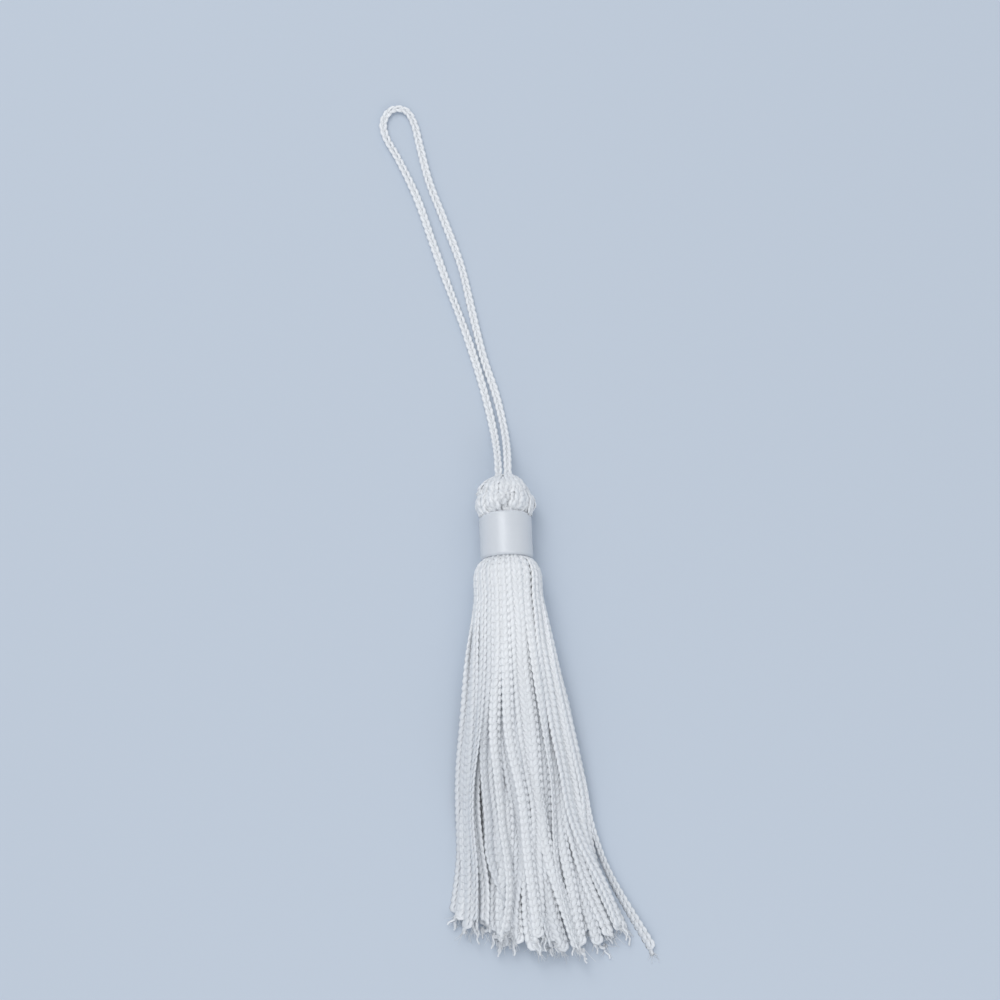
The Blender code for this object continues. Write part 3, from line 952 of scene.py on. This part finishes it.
def foldTube(turn, depth, random, stops):
    # the stitches follow the fold, face away from a point in the head, and narrow near the axis
    path = smoothRoute(foldRoute(turn, depth, random, stops), head["points"])
    keepOffFloor(path, head["floorRoom"])
    faceMiddle = bandHigh.y + head["faceMiddle"] * headLength
    outward = path - np.array([bandX, faceMiddle, axisHeight])
    near = np.hypot(path[:, 0] - bandX, path[:, 2] - axisHeight)
    narrowed = np.clip(near / head["widthFade"], head["widthLeast"], 1)
    width = random.uniform(*head["width"]) * narrowed
    thickness = np.clip(width, *head["thickness"])
    press = np.full(len(path), head["press"])
    start = random.uniform(0, 1) * chainette["pitch"] * mm
    tube = knitAlong(path, outward, width, thickness, press, start)
    keepOffFloor(tube)
    return tube


def headCore():
    # the middle of the head: a surface turned about the tassel's axis
    height, outline = np.array(head["rings"])[:head["coreRings"], :2].T[..., None]
    radii = np.minimum(head["coreShare"] * outline, head["coreWidest"])
    ups = bandHigh.y + (height - head["coreDrop"]) * headLength
    core = aboutAxis(radii, -fullTurn(head["coreSides"]), ups)
    keepOffFloor(core, head["coreFloor"])
    return core


def makeHead():
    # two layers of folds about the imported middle, each fold near its turn, 2 pi x number / folds,
    # and the inner layer half a fold further round
    random = np.random.default_rng(head["seed"])
    tubes = [headCore()]
    layers = ((head["folds"], 0), (head["innerFolds"], head["innerDepth"]))
    for layer, (folds, depth) in enumerate(layers):
        for fold in range(folds):
            offPlace = random.uniform(-head["offPlace"], head["offPlace"])
            turn = 2 * np.pi * (fold + 0.5 * layer + offPlace) / folds
            tubes.append(foldTube(turn, depth, random, fold % head["stops"]))
    shades = random.uniform(*head["tones"], len(tubes))
    piece = meshPiece("headFolds", *joinTubes(tubes, shades))
    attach(piece, "root")
    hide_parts("folded_strands")
    print("head made,", len(tubes) - 1, "folds")
    return piece


# The satin thread, wound turn by turn round the neck
band = {
    "threadPitch": 0.00020,
    "threadDepth": 0.000045,
    "rowsPerThread": 4,
    "around": 144,
    "inset": 0.00004,  # the wrap lies this far inside its solid
    # how far along each end rounds over, and how deep: at the skirt, and under the head's rim
    "ends": ((0.00055, 0.00055), (0.00100, 0.00085)),
    "innerRadius": 0.00385,
    # slow waves of the surface: sine lengths in metres for a radian, fading out near the ends
    "unevenness": 0.000015,
    "waves": (0.0011, 0.0007),
    "wavePhase": 1.3,
    "waveTurns": 2,
    "waveFade": 0.0008,
}


def bandRings():
    # r(along, turn) = radius - depth x (1 - |cos(pi x (along / pitch - turn / 2 pi))|), so the
    # thread's turns climb as a helix; a quarter ellipse rounds each end, depth x (1 - sqrt(1 - s^2))
    # with s from 0 to 1 at the end itself, and the inner wall closes it
    length = bandHigh.y - bandLow.y
    rows = int(length / band["threadPitch"]) * band["rowsPerThread"]
    along = np.linspace(0, length, rows)[:, None]
    turns = fullTurn(band["around"])[None]
    wound = along / band["threadPitch"] - turns / (2 * np.pi)
    groove = band["threadDepth"] * (1 - np.abs(np.cos(np.pi * wound)))
    long, short = band["waves"]
    slow = np.sin(along / long + band["wavePhase"]) + np.sin(along / short + band["waveTurns"] * turns)
    fromEnd = np.minimum(along, length - along)
    slow *= band["unevenness"] * np.clip(fromEnd / band["waveFade"], 0, 1)
    outer = bandRadius - band["inset"] - groove + slow
    for (reach, depth), away in zip(band["ends"], (along, length - along)):
        share = np.clip(1 - away / reach, 0, 1)
        outer = outer - depth * (1 - np.sqrt(1 - share**2))
    inner = np.full((2, band["around"]), band["innerRadius"])
    radius = np.vstack([outer, inner])
    rings = aboutAxis(radius, turns, bandLow.y + np.vstack([along, along[[-1, 0]]]))
    keepOffFloor(rings, 0)
    return rings


def makeBand():
    # the rings are joined in a circle lengthwise too, so the wrap is a closed tube with a bore;
    # UV: u is the turn round the tassel, v the ring's share of the rings
    rings = bandRings()
    count, around = rings.shape[:2]
    corner = np.arange(count * around).reshape(count, around)
    outwards = [0, 3, 2, 1]  # the order of a quad's corners that turns its face outwards
    quads = ringQuads(np.vstack([corner, corner[:1]]))[:, outwards]
    uvs = ringUvs(around, np.arange(count + 1) / count)[:, outwards]
    piece = meshPiece("neckBandWrap", rings.reshape(-1, 3), quads.tolist(), uvs)
    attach(piece, "root")
    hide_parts("neck_band")
    print("neck band made,", len(quads), "faces")
    return piece


# What the finishes are drawn from, in metres
finish = {
    "bundles": (0.00020, 0.00013),  # between bundles of the yarn's filaments, in two sizes
    "filament": 0.00002,  # one filament's thickness
    "threadTone": 0.010,  # how far along the thread its tone holds
    "wavesInUnit": 20 / (2 * math.pi),  # bands of a wave texture of scale 1 in one unit
}


def silkyRayonYarn():
    # bright rayon filament yarn, hardly twisted and knitted into chainette: white with a soft silky
    # gloss, whose filaments show as fine streaks along each yarn. A filament is 0.02 mm and too
    # fine to show, so the streaks are drawn as bundles of them, 0.20 and 0.13 mm apart
    material = newMaterial("knittedSilkyRayon")
    # the tone attribute holds each strand's own random tone and, on the skirt, a painted shade that
    # darkens it lower down; it blends the darker white A into B
    tone = addNode(material, "Attribute", {"attribute_name": "strandToneAndShade"})
    colour = addNode(material, "Mix", {
        "data_type": "RGBA", "A": linearColour("#DFE2E6"), "B": linearColour("#FBFCFD"),
    }, {"Factor": tone.outputs["Fac"]})
    yarn = addNode(material, "UVMap", {"uv_map": "alongYarn"})
    roundYarn = 2 * math.pi * chainette["yarnRadius"] * mm
    streaks = []
    for spacing in finish["bundles"]:
        bundles = round(roundYarn / spacing)
        streaks.append(addNode(material, "TexWave", {
            "bands_direction": "X", "Scale": bundles / finish["wavesInUnit"], "Distortion": 0.7,
            "Detail": 2.0, "Detail Scale": 1.5, "Phase Offset": float(bundles),
        }, {"Vector": yarn.outputs["UV"]}))
    filaments = addNode(material, "Math", {"operation": "ADD"})
    for place, streak in enumerate(streaks):
        material.node_tree.links.new(streak.outputs["Fac"], filaments.inputs[place])
    bump = addNode(material, "Bump", {"Strength": 0.40, "Distance": finish["filament"]},
                   {"Height": filaments.outputs["Value"]})
    shader = addNode(material, "BsdfPrincipled", {
        "Roughness": 0.36, "Specular IOR Level": 0.5, "IOR": 1.52, "Sheen Weight": 0.1,
        "Sheen Roughness": 0.4, "Subsurface Weight": 0.2, "Subsurface Scale": 0.0007,
        "Subsurface Radius": (1.0, 1.0, 1.0),
    }, {"Base Color": colour.outputs["Result"], "Normal": bump.outputs["Normal"]})
    addNode(material, "OutputMaterial", None, {"Surface": shader.outputs["BSDF"]})
    return material


def satinThread():
    # glossy satin-finish thread wound turn by turn: its fine turns draw the light out into one
    # bright stripe along the band, and its flanks stay a soft grey; filaments streak each turn
    material = newMaterial("woundSatinThread")
    wound = addNode(material, "UVMap", {"uv_map": "alongYarn"})
    length = bandHigh.y - bandLow.y
    scale = (2 * math.pi * bandRadius / finish["threadTone"], length / finish["filament"], 1.0)
    stretched = addNode(material, "Mapping", {"Scale": scale},
                        {"Vector": wound.outputs["UV"]})
    turnTone = addNode(material, "TexNoise", {"Scale": 1.0, "Detail": 2.0},
                       {"Vector": stretched.outputs["Vector"]})
    colour = addNode(material, "Mix", {
        "data_type": "RGBA", "A": linearColour("#D7DADF"), "B": linearColour("#E2E5E8"),
    }, {"Factor": turnTone.outputs["Fac"]})
    bump = addNode(material, "Bump", {"Strength": 0.25, "Distance": finish["filament"]},
                   {"Height": turnTone.outputs["Fac"]})
    shader = addNode(material, "BsdfPrincipled", {
        "Roughness": 0.18, "Specular IOR Level": 1.0, "IOR": 1.54,
    }, {"Base Color": colour.outputs["Result"], "Normal": bump.outputs["Normal"]})
    addNode(material, "OutputMaterial", None, {"Surface": shader.outputs["BSDF"]})
    return material


def floorPaint():
    # smooth matt board of a pale blue grey
    material = newMaterial("mattPaleBoard")
    shader = addNode(material, "BsdfPrincipled", {
        "Base Color": linearColour("#C7D0DB"), "Roughness": 0.85, "Specular IOR Level": 0.2,
    })
    addNode(material, "OutputMaterial", None, {"Surface": shader.outputs["BSDF"]})
    return material


stage = {
    "floorSize": 12.0,
    "skyColour": "#E2E8F0",  # the studio overhead and, at the horizon, the floor's own tone
    "horizonColour": "#AEB9C7",
    "horizonTop": 0.22,  # sine of the height at which the one has become the other
    "skyStrength": 0.66,
    "diffuseBounces": 12,
    "ceilingPower": 0.54,  # watts for each square metre
    "ceilingSpread": 62,  # degrees across which the ceiling light reaches
    "ceilingPlace": (-0.12, 0.10, 0.80),
    # place, size and watts of each soft light: a tall one beyond the loop, which leaves the shade on
    # the skirt's side of each form, and a weak one near the ends, which lightens the surface there
    "softboxes": {
        "keySoftbox": ((-0.16, 0.38, 0.60), (0.28, 0.60), 1.12),
        "fillSoftbox": ((0.04, -0.34, 0.24), (0.30, 0.20), 0.26),
    },
}


def makeWorld():
    # pale studio air: the direction's height z blends the horizon's tone into the sky's
    world = bpy.data.worlds.new("studio")
    world.use_nodes = True
    world.node_tree.nodes.clear()
    direction = addNode(world, "TexCoord")
    parts = addNode(world, "SeparateXYZ", None, {"Vector": direction.outputs["Generated"]})
    height = addNode(world, "MapRange", {
        "interpolation_type": "SMOOTHSTEP", "From Min": 0.0, "From Max": stage["horizonTop"],
    }, {"Value": parts.outputs["Z"]})
    strength = stage["skyStrength"]
    sky = [channel * strength for channel in linearColour(stage["skyColour"])[:3]] + [1.0]
    colour = addNode(world, "Mix", {
        "data_type": "RGBA", "A": linearColour(stage["horizonColour"]), "B": sky,
    }, {"Factor": height.outputs["Result"]})
    light = addNode(world, "Background", None, {"Color": colour.outputs["Result"]})
    addNode(world, "OutputWorld", None, {"Surface": light.outputs["Background"]})
    bpy.context.scene.world = world


def makeStage():
    half = stage["floorSize"] / 2
    corners = np.array([[-half, -half, 0], [half, -half, 0], [half, half, 0], [-half, half, 0]])
    uvs = np.array([[0, 0], [1, 0], [1, 1], [0, 1]])
    floor = meshPiece("floor", corners, [[0, 1, 2, 3]], uvs)
    floor.data.materials.append(floorPaint())
    makeWorld()
    bpy.context.scene.view_settings.view_transform = "Standard"
    # white yarn lights its own hollows, which takes many bounces
    bpy.context.scene.cycles.diffuse_bounces = stage["diffuseBounces"]


def makeLight(name, kind, place, power, settings):
    light = bpy.data.lights.new(name, kind)
    light.energy = power
    for setting, value in settings.items():
        setattr(light, setting, value)
    putInScene(name, light, place, (bandMiddle - Vector(place)).to_track_quat("-Z", "Y"))


loopPiece = makeHangingLoop()
skirtPieces = makeSkirt()
headPiece = makeHead()
bandPiece = makeBand()
knitted = silkyRayonYarn()
for piece in [loopPiece, headPiece, *skirtPieces]:
    piece.data.materials.append(knitted)
bandPiece.data.materials.append(satinThread())
makeStage()
makeLight("ceiling", "SUN", stage["ceilingPlace"], stage["ceilingPower"],
          {"angle": math.radians(stage["ceilingSpread"])})
for name, (place, (across, tall), power) in stage["softboxes"].items():
    makeLight(name, "AREA", place, power, {"shape": "RECTANGLE", "size": across, "size_y": tall})
print("materials and light made")
